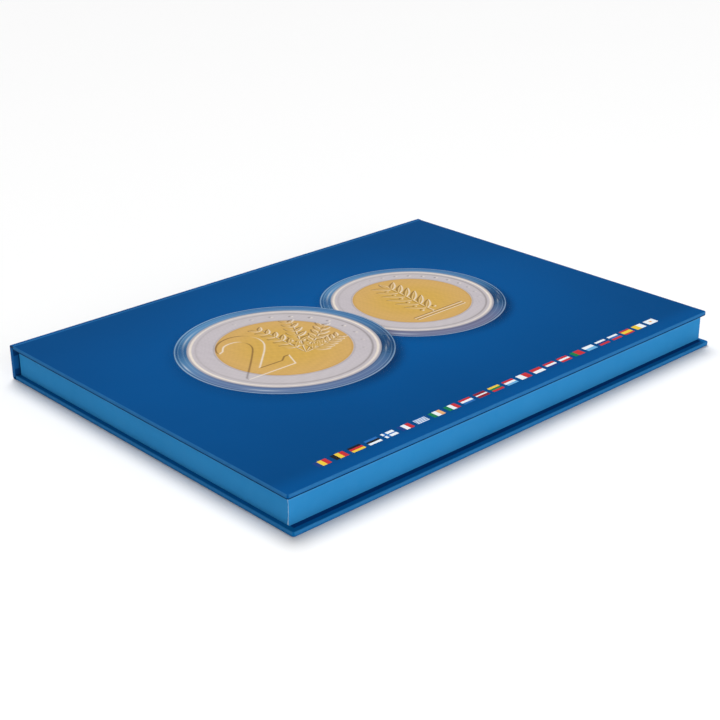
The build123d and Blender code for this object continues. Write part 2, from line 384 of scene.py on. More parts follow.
class Matter(NodeBench):
    """A material on the bench: one Principled shader, and the Object coordinates as its place."""

    def __init__(self, name: str, **values: object) -> None:
        """Start the material.

        Args:
            name: the material's name.
            values: the shader's plain values, by socket name with underscores for spaces.
        """
        self.material = bpy.data.materials.new(name)
        self.material.use_nodes = True
        super().__init__(self.material.node_tree)
        self.tree.nodes.clear()
        self.shader = self.add("ShaderNodeBsdfPrincipled")
        self.end = self.add("ShaderNodeOutputMaterial")
        self.feed(self.shader.outputs[0], self.end, "Surface")
        for key, value in values.items():
            self.shader.inputs[key.replace("_", " ")].default_value = value
        self.place = self.add("ShaderNodeTexCoord").outputs["Object"]

    def drive(self, socket: str, source: Socket) -> None:
        """Drive one of the shader's sockets."""
        self.feed(source, self.shader, socket)

    def colour(self, share: object, first: object, second: object) -> None:
        """Drive the base colour with a mix of two."""
        self.drive("Base Color", self.blend(share, first, second))

    def grain(self, size: float) -> tuple[Socket, Socket]:
        """Place the paper grain at a fibre size, and return its height and its cloud."""
        node = self.group(GRAIN, Place=self.place, Fibre_Size=size)
        return node.outputs["Height"], node.outputs["Cloud"]

    def bumped(self, height: object, strength: float, distance: float) -> Material:
        """Raise the normal by a height through a Bump node, and return the finished material."""
        node = self.add("ShaderNodeBump")
        node.inputs["Strength"].default_value = strength
        node.inputs["Distance"].default_value = distance
        self.feed(height, node, "Height")
        self.drive("Normal", node.outputs[0])
        return self.material

    def fibrous(self, height: Socket, roughness: float, strength: float) -> Material:
        """Let fibres vary the roughness a little either side of its mean, and raise the bump."""
        self.drive("Roughness", self.span(height, 0.3, 0.7, roughness - 0.05, roughness + 0.06))
        return self.bumped(height, strength, 0.02 * MM)


@dataclass(frozen=True)
class PaperFinish:
    """Printed or dyed paper, with fibres, cloudy ink, a painted highlight round the outline and a painted shade line at
    the fold.

    Attributes:
        ink, pale_ink, rubbed, fold: the clouds' two inks, the painted highlight's colour, and the painted shade line's
            colour.
        fibre, reach: the size of the fibres, and how far the painted highlight goes in.
        centre, half: the middle and half size of the board's outline.
        arris, fold_level: the heights of the edge that gets the painted highlight and of the fold, where the painted
            shade line lies.
        glow: the middle and radius of a paler pool, if there is one.
    """

    name: str
    ink: Colour
    pale_ink: Colour
    # The painted highlight's colour along the outline and arris.
    edge_highlight: Colour
    roughness: float = 0.45
    gloss: float = 0.01
    fibre: float = 0.35 * MM
    reach: float = 0.55 * MM
    centre: Triple = (0.0, 0.0, 0.0)
    half: Triple = (FAR, FAR, FAR)
    arris: float = FAR
    fold_level: float = FAR
    # A painted shade line under the board's edge, at the fold.
    fold: Colour = paint(0, 26, 58)
    glow: Triple | None = None

    def material(self) -> Material:
        """Build the paper: cloud, painted outline highlight and painted fold shade in the colour, fibres in the bump.
        """
        matter = Matter(self.name, Specular_IOR_Level=self.gloss)
        height, cloud = matter.grain(self.fibre)
        share = matter.span(cloud, 0.3, 0.75)
        if self.glow is not None:
            share = self.glowing(matter, share)
        inked = matter.blend(share, self.ink, self.pale_ink)
        # Painted highlight at the outline and arris, then a painted shade line at the fold.
        edge_paint = matter.group(PAINTED_EDGE_LIGHT_SHADE, Place=matter.place, Centre=self.centre, Half=self.half, Reach=self.reach,
                            Arris=self.arris, Fold_Level=self.fold_level)
        edge_highlight = matter.blend(edge_paint.outputs["Rub"], inked, self.edge_highlight)
        matter.colour(edge_paint.outputs["Fold"], edge_highlight, self.fold)
        return matter.fibrous(height, self.roughness, 0.25)

    def glowing(self, matter: Matter, cloud: Socket) -> Socket:
        """Print a soft pale pool into the ink, a smooth fall from its squashed centre, and paint a paler fore-edge band
        as a painted reflection.
        """
        x, y, radius = self.glow
        offset = matter.vector("MULTIPLY", matter.vector("SUBTRACT", matter.place, (x, y, 0.0)), (0.62, 1.0, 0.0))
        pool = matter.span(matter.vector("LENGTH", offset), 0.0, radius, 1.0, 0.0)
        # A painted reflection: paler ink in a band along the fore-edge of the top.
        fore = self.centre[1] - self.half[1]
        edge = matter.span(matter.parts(matter.place)[1], fore + 2 * MM, fore + 15 * MM, 0.55, 0.0)
        return matter.plus(pool, matter.plus(matter.times(cloud, 0.16), edge), clamp=True)


@dataclass(frozen=True)
class InkFinish:
    """Printed ink under lamination: each point's colour and cover come from its own attribute."""

    name: str
    roughness: float = 0.4

    def material(self) -> Material:
        """Build the ink: the attribute's colour and alpha, over the paper's fine fibres."""
        matter = Matter(self.name, Specular_IOR_Level=0.02)
        ink = matter.add("ShaderNodeAttribute", attribute_name="ink")
        matter.drive("Base Color", ink.outputs["Color"])
        matter.drive("Alpha", ink.outputs["Alpha"])
        return matter.fibrous(matter.grain(0.35 * MM)[0], self.roughness, 0.2)


@dataclass(frozen=True)
class BoardFinish:
    """Grey bookbinder's board, with pulp specks."""

    name: str = "greyboard"
    light: Colour = paint(150, 144, 134)
    dark: Colour = paint(112, 106, 98)

    def material(self) -> Material:
        """Build the board: coarse pulp in the colour and the bump."""
        matter = Matter(self.name, Roughness=0.9, Specular_IOR_Level=0.2)
        height, _ = matter.grain(0.8 * MM)
        matter.colour(matter.span(height, 0.35, 0.62), self.dark, self.light)
        return matter.bumped(height, 0.5, 0.08 * MM)


@dataclass(frozen=True)
class PileFinish:
    """Velvet or foam: a matt colour with a fine pile or cells, and a sheen at grazing angles."""

    name: str
    deep: Colour
    tips: Colour
    pile: float = 0.25 * MM
    depth: float = 0.12 * MM
    sheen: float = 0.6

    def material(self) -> Material:
        """Build the pile: brushed patches in the colour, pile in the bump."""
        matter = Matter(self.name, Roughness=0.95, Specular_IOR_Level=0.1, Sheen_Weight=self.sheen,
                        Sheen_Roughness=0.35, Sheen_Tint=(*self.tips, 1.0))
        height, _ = matter.grain(self.pile)
        brushed = matter.span(matter.noise(matter.place, 38.0, 2.0), 0.35, 0.7)
        matter.colour(matter.times(matter.plus(brushed, height), 0.5), self.deep, self.tips)
        return matter.bumped(height, 0.6, self.depth)


@dataclass(frozen=True)
class RibbonFinish:
    """Woven satin ribbon."""

    name: str = "satin_ribbon"
    dark: Colour = paint(8, 52, 112)
    light: Colour = paint(40, 108, 178)

    def material(self) -> Material:
        """Build the ribbon: slubs in the colour, ribs in the bump."""
        matter = Matter(self.name, Roughness=0.38, Specular_IOR_Level=0.4, Sheen_Weight=0.5, Sheen_Roughness=0.3,
                        Anisotropic=0.4)
        weave = matter.group(WEAVE, Place=matter.place, Rib=0.45 * MM)
        matter.colour(matter.span(weave.outputs["Slub"], 0.3, 0.7), self.dark, self.light)
        return matter.bumped(weave.outputs["Height"], 0.35, 0.05 * MM)


@dataclass(frozen=True)
class CoinMetalFinish:
    """Struck coin metal: bright, with a faint tone in patches and fine flow lines."""

    name: str
    bright: Colour
    toned: Colour
    roughness: float = 0.27

    def material(self) -> Material:
        """Build the metal: toning in the colour and roughness, fine scratches in the bump."""
        matter = Matter(self.name, Metallic=1.0)
        toning = matter.span(matter.noise(matter.place, 120.0, 3.0), 0.35, 0.75)
        matter.colour(toning, self.bright, self.toned)
        matter.drive("Roughness", matter.span(toning, 0.0, 1.0, self.roughness, self.roughness + 0.13))
        return matter.bumped(matter.noise(matter.place, 4200.0, 2.0), 0.12, 0.02 * MM)


@dataclass(frozen=True)
class ClearFinish:
    """Clear moulded plastic, with a very faint flow in its gloss, that lets light through to what it holds."""

    name: str = "clear_capsule_plastic"
    tint: Colour = (0.96, 0.98, 1.0)
    shade: Colour = (0.93, 0.95, 0.97)

    def material(self) -> Material:
        """Build the plastic: full transmission, with roughness that drifts slightly, and a pale shadow."""
        matter = Matter(self.name, Transmission_Weight=1.0, IOR=1.49, Base_Color=(*self.tint, 1.0))
        matter.drive("Roughness", matter.span(matter.noise(matter.place, 90.0, 2.0), 0.3, 0.7, 0.02, 0.06))
        clear = matter.add("ShaderNodeBsdfTransparent")
        clear.inputs[0].default_value = (*self.shade, 1.0)
        mixed = matter.add("ShaderNodeMixShader")
        in_shadow = matter.add("ShaderNodeLightPath").outputs["Is Shadow Ray"]
        for index, source in enumerate((in_shadow, matter.shader.outputs[0], clear.outputs[0])):
            matter.feed(source, mixed, index)
        matter.feed(mixed.outputs[0], matter.end, "Surface")
        return matter.material


@dataclass(frozen=True)
class FloorFinish:
    """A plain pale studio floor."""

    name: str = "studio_floor"
    tone: Colour = (0.97, 0.97, 0.97)

    def material(self) -> Material:
        """Build the floor: a matt white with a barely visible drift."""
        matter = Matter(self.name, Roughness=1.0, Specular_IOR_Level=0.0)
        lighter = tuple(1.01 * c for c in self.tone)
        matter.colour(matter.noise(matter.place, 1.3, 2.0), self.tone, lighter)
        return matter.material


# Reliefs: heights from 0 to 1 on a coin whose radius is 1

def leaf_height(u: Array, v: Array, leaves: Array) -> Array:
    """Height of many pointed leaves at once.

    Args:
        u, v: the place, right and up.
        leaves: one row for each leaf: root u, root v, heading, length, half width.
    Returns:
        The highest leaf at each place. A leaf's half width follows a half sine from root to tip, and its
        height falls from its middle to its edge, with a vein cut along the middle.
    """
    lead = (slice(None),) + (None,) * u.ndim
    root_u, root_v, heading, length, half = (leaves[:, k][lead] for k in range(5))
    along = (u - root_u) * np.cos(heading) + (v - root_v) * np.sin(heading)
    across = np.abs((v - root_v) * np.cos(heading) - (u - root_u) * np.sin(heading))
    share = np.clip(along / length, 0, 1)
    width = half * np.sin(np.pi * share ** 0.8) ** 0.8 + 1e-6
    height = 1 - smooth(0.35, 1.0, across / width) - 0.35 * (1 - smooth(0.0, 0.22, across / width))
    return np.where((along > 0) & (along < length), np.clip(height, 0, 1), 0).max(0)


def leaf_fan(u: Array, v: Array) -> Array:
    """Nine leaves fanned out from one root, over three long waves."""
    heading = np.radians(np.linspace(12, 168, 9))
    length = 0.44 + 0.16 * np.sin(heading) ** 2
    leaves = beside(0.02, -0.14, heading, length, 0.052)
    wave = np.cos(2 * np.pi * (v + 0.025 * np.sin(13 * u)) / 0.13)
    sea = smooth(0.2, 0.9, wave) * (1 - smooth(-0.2, -0.15, v)) * (1 - smooth(0.56, 0.6, np.hypot(u, v)))
    return np.maximum(leaf_height(u, v, leaves), 0.8 * sea)


def sprig(u: Array, v: Array) -> Array:
    """An olive sprig: leaves in pairs up a curved stem, small round fruit, and ground lines below.

    Args:
        u, v: the place, right and up.
    Returns:
        The highest of the leaves, stem, fruit and lines; the stem follows a sine of its height.
    """
    at = np.repeat(np.linspace(-0.3, 0.42, 6), 2)
    side = np.tile([-1.0, 1.0], 6)
    root = 0.06 * np.sin(3 * at)
    leaves = beside(root, at, np.pi / 2 - side * 0.85, 0.32 - 0.16 * np.abs(at), 0.05)
    tip = np.array([[0.06 * math.sin(1.35), 0.45, np.pi / 2, 0.2, 0.05]])
    stem = (1 - smooth(0.008, 0.018, np.abs(u - 0.06 * np.sin(3 * v)))) * ((v > -0.42) & (v < 0.5))
    fruit_u, fruit_v = 0.10 * side + 0.06 * np.sin(3 * at), at - 0.02
    lead = (slice(None),) + (None,) * u.ndim
    fruit = 1 - smooth(0.01, 0.032, np.hypot(u - fruit_u[lead], v - fruit_v[lead])).min(0)
    lines = (1 - smooth(0.007, 0.014, np.abs(np.abs(v + 0.475) - 0.028))) * (np.abs(u) < 0.4)
    return np.maximum.reduce([leaf_height(u, v, np.vstack([leaves, tip])), stem, fruit, 0.8 * lines])


def sunburst(u: Array, v: Array) -> Array:
    """A disc with sixteen tapering rays: each ray's half width narrows evenly to its tip."""
    radius, angle = np.hypot(u, v), np.arctan2(v, u)
    fold = np.abs((angle * 8 / np.pi + 0.5) % 1 - 0.5)
    rays = (1 - smooth(0.6, 1.0, fold / np.clip(0.46 - 0.62 * radius, 0.02, 1))) * ((radius > 0.24) & (radius < 0.6))
    return np.maximum(1 - smooth(0.17, 0.2, radius), rays)


def polygon_depth(u: Array, v: Array, corners: Array) -> Array:
    """How deep a place lies inside a closed outline, or less than 0 outside it.

    Args:
        u, v: the place.
        corners: the outline's corners in order.
    Returns:
        The distance to the nearest side, signed by whether a level ray crosses the sides an odd number of times.
    """
    lead = (slice(None),) + (None,) * u.ndim
    (au, av), (bu, bv) = (tuple(c[:, k][lead] for k in (0, 1)) for c in (corners, np.roll(corners, -1, 0)))
    du, dv = bu - au, bv - av
    share = np.clip(((u - au) * du + (v - av) * dv) / (du * du + dv * dv), 0, 1)
    nearest = np.hypot(u - au - share * du, v - av - share * dv).min(0)
    crossed = ((av > v) != (bv > v)) & (u < au + (v - av) * du / np.where(dv == 0, 1e-9, dv))
    return np.where(crossed.sum(0) % 2 == 1, nearest, -nearest)


def flowing(corners: Sequence[Pair], steps: int = 6) -> Array:
    """A smooth open line through corners: a Catmull-Rom cubic in each span, from half the neighbours' difference."""
    c = np.array(corners, float)
    c = np.vstack([2 * c[0] - c[1], c, 2 * c[-1] - c[-2]])
    t = np.linspace(0, 1, steps, endpoint=False)[None, :, None]
    p0, p1, p2, p3 = (c[k:len(c) - 3 + k, None] for k in range(4))
    curve = p1 + t / 2 * (p2 - p0 + t * (2 * p0 - 5 * p1 + 4 * p2 - p3 + t * (3 * (p1 - p2) + p3 - p0)))
    return np.vstack([curve.reshape(-1, 2), c[-2]])


TWO = np.vstack([
    flowing([(-0.60, 0.30), (-0.59, 0.37), (-0.52, 0.47), (-0.40, 0.55), (-0.25, 0.57), (-0.12, 0.51), (-0.055, 0.38),
             (-0.08, 0.23), (-0.18, 0.09), (-0.34, -0.07), (-0.51, -0.235)]),
    [(-0.24, -0.245), (-0.16, -0.18), (-0.09, -0.18), (-0.18, -0.395), (-0.77, -0.385), (-0.77, -0.34)],
    flowing([(-0.72, -0.29), (-0.55, -0.12), (-0.36, 0.08), (-0.255, 0.21), (-0.225, 0.32), (-0.26, 0.41),
             (-0.35, 0.44), (-0.45, 0.415), (-0.53, 0.33)])])


def bough(u: Array, v: Array) -> Array:
    """Four twigs spread from one root, each with six pairs of small leaves that shorten to its tip.

    Args:
        u, v: the place, right and up.
    Returns:
        The height of the highest leaf or twig; leaves stand at even shares of each twig's reach.
    """
    heading = np.radians([4.0, 30.0, 57.0, 84.0])
    reach = np.array([0.50, 0.70, 0.80, 0.74])
    share = np.linspace(0.22, 1.0, 6)
    along = (reach[:, None] * share)[..., None]
    lean = heading[:, None, None] + 0.12 * share[:, None] + np.array([-0.75, 0.75])
    curl = heading[:, None, None] + 0.10 * share[:, None]
    size = (0.20 - 0.08 * share)[:, None]
    leaves = beside(0.07 + along * np.cos(curl), -0.25 + along * np.sin(curl), lean, size, 0.27 * size)
    twigs = beside(0.07, -0.25, heading + 0.05, 1.08 * reach, 0.008)
    return leaf_height(u, v, np.vstack([leaves.reshape(-1, 5), twigs]))


def numeral(u: Array, v: Array) -> Array:
    """A large plain figure two at the left, with a bough of small leaves at the right."""
    return np.maximum(smooth(-0.004, 0.014, polygon_depth(u, v, TWO)), bough(u, v))


def beads(u: Array, v: Array, count: int, radius: float, size: float) -> Array:
    """Round beads evenly spaced on a circle: a soft bump round the nearest bead's place."""
    step = 2 * np.pi / count
    angle = (np.arctan2(v, u) + step / 2) % step - step / 2
    away = np.hypot(np.hypot(u, v) - radius, angle * radius)
    return 1 - smooth(0.3 * size, size, away)


# Printed matter

def ink_points(piece: Piece, colours: Array) -> None:
    """Store each point's ink colour and cover as the attribute that the ink finish reads."""
    layer = piece.data.attributes.new("ink", "FLOAT_COLOR", "POINT")
    layer.data.foreach_set("color", colours.astype(np.float32).ravel())


def lay(under: Array, over: Colour | Array, share: Array) -> Array:
    """Lay one colour over another: under + (over - under) times share."""
    return under + (np.asarray(over, float) - under) * np.asarray(share)[..., None]


def ramp(value: Array, stops: Sequence[float], colours: Sequence[Colour]) -> Array:
    """Colours read off a ramp, channel by channel, in a straight line between stops."""
    return beside(*(np.interp(value, stops, channel) for channel in zip(*colours)))


def disc_grid(radii: Array, spokes: int) -> tuple[Array, ...]:
    """A flat disc with one point in the middle.

    Args:
        radii: the radius of each ring of points.
        spokes: how many points a ring has.
    Returns:
        x and y of the points (r cos a, r sin a), the middle one first, then the quads and the middle's triangles.
    """
    angle = np.arange(spokes) * (2 * np.pi / spokes)
    x = np.concatenate([[0.0], np.outer(radii, np.cos(angle)).ravel()])
    y = np.concatenate([[0.0], np.outer(radii, np.sin(angle)).ravel()])
    ring = np.arange(spokes)
    fan = beside(0, 1 + ring, 1 + (ring + 1) % spokes)
    return x, y, grid_faces(len(radii), spokes, wrap_columns=True)[:, ::-1] + 1, fan


@dataclass(frozen=True)
class PrintedCoin:
    """A coin in its capsule, printed flat on the lid.

    Attributes:
        name: the stem of both pieces' names.
        centre, radius: the coin's place and size on the lid.
        join: the share of the radius where gold meets silver.
        lift: the level that it is printed at.
        relief: the motif.
        capsule, shift: the capsule's radius, and its middle off the coin's, in coin radii.
        marks: how many beads the ring has.
        lower_side: the band's ink on its shaded side.
    """

    name: str
    centre: Pair
    radius: float
    join: float
    lift: float
    relief: Relief
    capsule: float
    shift: Pair
    marks: int
    lower_side: Colour
    gold_inner: Colour = paint(205, 165, 82)
    gold_outer: Colour = paint(205, 165, 98)
    silver: Colour = paint(190, 183, 188)
    cream: Colour = paint(232, 222, 208)
    dark: Colour = paint(112, 84, 52)

    def build(self, ink: Material) -> list[Piece]:
        """Build the printed shadow and the coin above it.

        Args:
            ink: the finish that reads the stored colours.
        Returns:
            Both pieces.
        """
        made = []
        for suffix, radii, spokes, lift, colours in (
                ("shadow", np.linspace(0.05, 1.42, 60), 120, self.lift - 0.02 * MM, self.shadow),
                ("coin", np.linspace(0.008, self.capsule + 0.05, 210), 420, self.lift, self.colours)):
            u, v, quads, fan = disc_grid(radii, spokes)
            points = beside(self.centre[0] + u * self.radius, self.centre[1] + v * self.radius, lift)
            piece = make_piece(f"{self.name}_{suffix}", points, quads, fan)
            ink_points(piece, colours(u, v))
            piece.data.materials.append(ink)
            made.append(piece)
        return made

    def shadow(self, u: Array, v: Array) -> Array:
        """Deep blue whose cover falls off softly from a centre set low and left."""
        away = np.hypot(u + 0.07, v + 0.09)
        turn = np.arctan2(v, u)
        cover = (0.12 + 0.55 * bell(turn, -0.95, 0.55)) * (1 - smooth(1.04, 1.27, away))
        return np.concatenate([np.broadcast_to(paint(8, 46, 92), (len(u), 3)), cover[:, None]], 1)

    def shading(self, u: Array, v: Array) -> Array:
        """Light on the relief: how fast its height falls towards the low right, by a small difference."""
        across, down = 0.0065 * math.cos(1.1), 0.0065 * math.sin(1.1)

        def height(a: Array, b: Array) -> Array:
            """The motif together with the ring's beads."""
            ring = beads(a, b, self.marks, (self.join + 0.93) / 2, 0.026)
            return np.maximum(self.relief(a, b), ring * bell(np.arctan2(b, a), 0.45, 0.9))
        return height(u - across, v + down) - height(u + across, v - down)

    def metal(self, u: Array, v: Array) -> Array:
        """Paint the coin itself.

        Args:
            u, v: the place on a coin whose radius is 1.
        Returns:
            The gold middle and silver ring, the relief's light and dark sides, and the cream rim.
        """
        r, angle = np.hypot(u, v), np.arctan2(v, u)
        on_silver = smooth(self.join - 0.004, self.join + 0.004, r)
        sweep = 0.5 + 0.5 * np.cos(2 * (angle - 0.9))
        low_right = 0.5 + 0.5 * np.cos(angle + 0.6)
        light = self.shading(u, v)
        darker = lay(np.broadcast_to(self.dark, (len(u), 3)), paint(120, 113, 112), on_silver)
        rim = (0.45 + 0.45 * np.cos(angle + 0.25) ** 2) * smooth(0.936, 0.946, r) * (1 - smooth(0.96, 0.972, r))
        colour = np.broadcast_to(self.gold_inner, (len(u), 3))
        for over, share in (
                (self.gold_outer, smooth(0.25, 0.68, r)),
                (paint(170, 124, 62), 0.3 * bell(r, self.join - 0.012, 0.01)),
                (self.silver, on_silver),
                (paint(196, 190, 190), 0.4 * sweep * smooth(self.join, self.join + 0.04, r)),
                (paint(150, 142, 140), 0.5 * bell(r, self.join + 0.012, 0.008)),
                (darker, np.clip(-1.3 * light, 0, 0.75)),
                (self.cream, np.clip(1.2 * light, 0, 0.8)),
                (paint(134, 128, 128), (0.25 + 0.5 * low_right) * bell(r, 0.9, 0.012)),
                (self.cream, rim)):
            colour = lay(colour, over, share)
        speckle = np.sin(61 * u + 9 * v) * np.sin(53 * v - 17 * u) * np.sin(97 * u * v + 5)
        colour = colour * (1 + 0.05 * speckle * (r < 0.98))[:, None]
        return lay(colour, paint(128, 128, 136), 0.5 * bell(r, 0.982, 0.008))

    def band(self, s: Array, angle: Array) -> Shape:
        """Paint the capsule's blue band.

        Args:
            s: how far out the place is, 1.15 at the capsule's edge.
            angle: its direction from the middle.
        Returns:
            The band's colour, and how much of it is a drawn line from 0 to 1.
        """
        rightward, downward = np.cos(angle + 0.785), -np.sin(angle + 0.6)
        line = np.maximum.reduce([0.75 * bell(s, 1.139, 0.007), 0.35 * bell(s, 1.105, 0.005),
                                  0.25 * bell(s, 1.05, 0.005)])
        colour = ramp(s, (1.0, 1.03, 1.06, 1.10, 1.14), (
            paint(112, 140, 170), paint(92, 134, 174), paint(84, 130, 176), paint(62, 118, 168), paint(50, 108, 160)))
        glints = [(paint(214, 224, 232), 0.7 * bell(angle, place, width) * bell(s, at, 0.009))
                  for place, width, at in ((2.25, 0.22, 1.06), (2.9, 0.10, 1.10), (-2.45, 0.16, 1.075),
                                           (-0.78, 0.07, 1.045), (-0.66, 0.07, 1.075), (-0.54, 0.06, 1.10),
                                           (0.6, 0.2, 1.02))]
        for over, share in (
                (paint(34, 96, 146), 0.5 * smooth(0.3, 0.95, rightward)),
                (paint(100, 156, 200), 0.45 * smooth(0.3, 0.95, -rightward)),
                (self.lower_side, 0.7 * smooth(0.1, 0.8, downward)), *glints,
                (paint(158, 184, 208), line),
                (paint(20, 60, 104), 0.5 * bell(s, 1.118, 0.006) + 0.4 * bell(s, 1.008, 0.008))):
            colour = lay(colour, over, share)
        return colour, line

    def colours(self, u: Array, v: Array) -> Array:
        """Ink and cover at each place: the coin, then the capsule's band, clearer where light comes through.

        Args:
            u, v: the place on a coin whose radius is 1.
        Returns:
            Red, green, blue and cover.
        """
        r, angle = np.hypot(u, v), np.arctan2(v, u)
        s = np.hypot(u - self.shift[0], v - self.shift[1]) / self.capsule * 1.15
        band, line = self.band(s, angle)
        on_band = smooth(0.985, 0.995, r)
        gap = np.maximum(bell(angle, -0.62, 0.30), 0.8 * bell(angle, 2.5, 0.25))
        glassy = np.clip(0.92 - 0.75 * gap, 0.2, 1) * (1 - line) + line
        cover = (1 - smooth(1.142, 1.152, s)) * (1 - on_band + on_band * glassy)
        colour = lay(self.metal(u, v), band, on_band)
        return np.concatenate([np.clip(colour, 0, 1), cover[:, None]], 1)


INKS: dict[str, Colour] = {
    "b": paint(38, 106, 176), "n": paint(24, 62, 130), "c": paint(104, 170, 216), "r": paint(196, 50, 56),
    "m": paint(140, 38, 52), "y": paint(232, 198, 66), "o": paint(224, 170, 120), "g": paint(24, 120, 76),
    "k": paint(28, 30, 36), "w": paint(228, 234, 240)}

FIELDS: tuple[str, ...] = (
    "nyr", "kyr", "k/r/y", "b/k/w", "wbwww/wbwww/bbbbb/wbwww/wbwww", "nwr", "b/w/b/w/b/w/b/w/b", "gwo", "gwr",
    "r/w/b", "m/m/w/m/m", "y/g/r", "r/w/c", "wr", "r/w", "r/w/n", "r/w/r", "ggrrr", "w/c", "w/n/r", "w/b/r",
    "r/y/y/r", "yw", "wwwww/wwoww/wwwww")


def field_piece(name: str, fields: Sequence[tuple[str, Pair]], size: Pair, height: float, ink: Material) -> Piece:
    """Print small fields, each divided into equal cells of flat ink, as one piece.

    Args:
        name: the piece's name.
        fields: each field's pattern and middle. A pattern has one letter of ink for each cell, in rows from the
            top, with slashes between.
        size: a field's width and depth.
        height: the level that they lie at.
        ink: the finish that reads the stored colours.
    Returns:
        The piece, which has four corners for each cell.
    """
    corners, inks = [], []
    for pattern, centre in fields:
        rows = pattern.split("/")
        down, across = len(rows), len(rows[0])
        row, column = (a.ravel()[:, None] for a in np.mgrid[0:down, 0:across])
        x = centre[0] + size[0] * ((column + np.array([[0, 1, 1, 0]])) / across - 0.5)
        y = centre[1] + size[1] * (0.5 - (row + np.array([[1, 1, 0, 0]])) / down)
        corners.append(beside(x, y, height).reshape(-1, 3))
        inks += [(*INKS[letter], 1.0) for letter in "".join(rows)]
    points = np.vstack(corners)
    piece = make_piece(name, points, np.arange(len(points)).reshape(-1, 4), crease=None)
    ink_points(piece, np.repeat(np.array(inks), 4, 0))
    piece.data.materials.append(ink)
    return piece


# Sub-assemblies

class Body(Enum):
    """The bodies that pieces ride on."""

    BASE = "base_and_tray"
    SPINE = "spine"
    LID = "lid"


def dress(material: Material, *nodes: str) -> None:
    """Give carried-over nodes a finish through their material slots."""
    for name in nodes:
        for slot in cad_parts[name].material_slots:
            slot.material = material
        LOG.info("%s: dressed in %s", name, material.name)


def settle(piece: Piece, body: Body | None = None, finish: Material | None = None, node: str = "") -> None:
    """Settle a new piece into the model.

    Args:
        piece: the piece.
        body: the body that it rides on, unless it is blended.
        finish: its material, unless it has one.
        node: the node that it stands for, if any.
    """
    if finish:
        piece.data.materials.append(finish)
    if body:
        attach(piece, body.value)
    if node:
        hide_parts(node)


def middle(node: str) -> tuple[Vector, Vector]:
    """The centre and half size of a node's box."""
    low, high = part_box(node)
    return (low + high) / 2, (high - low) / 2


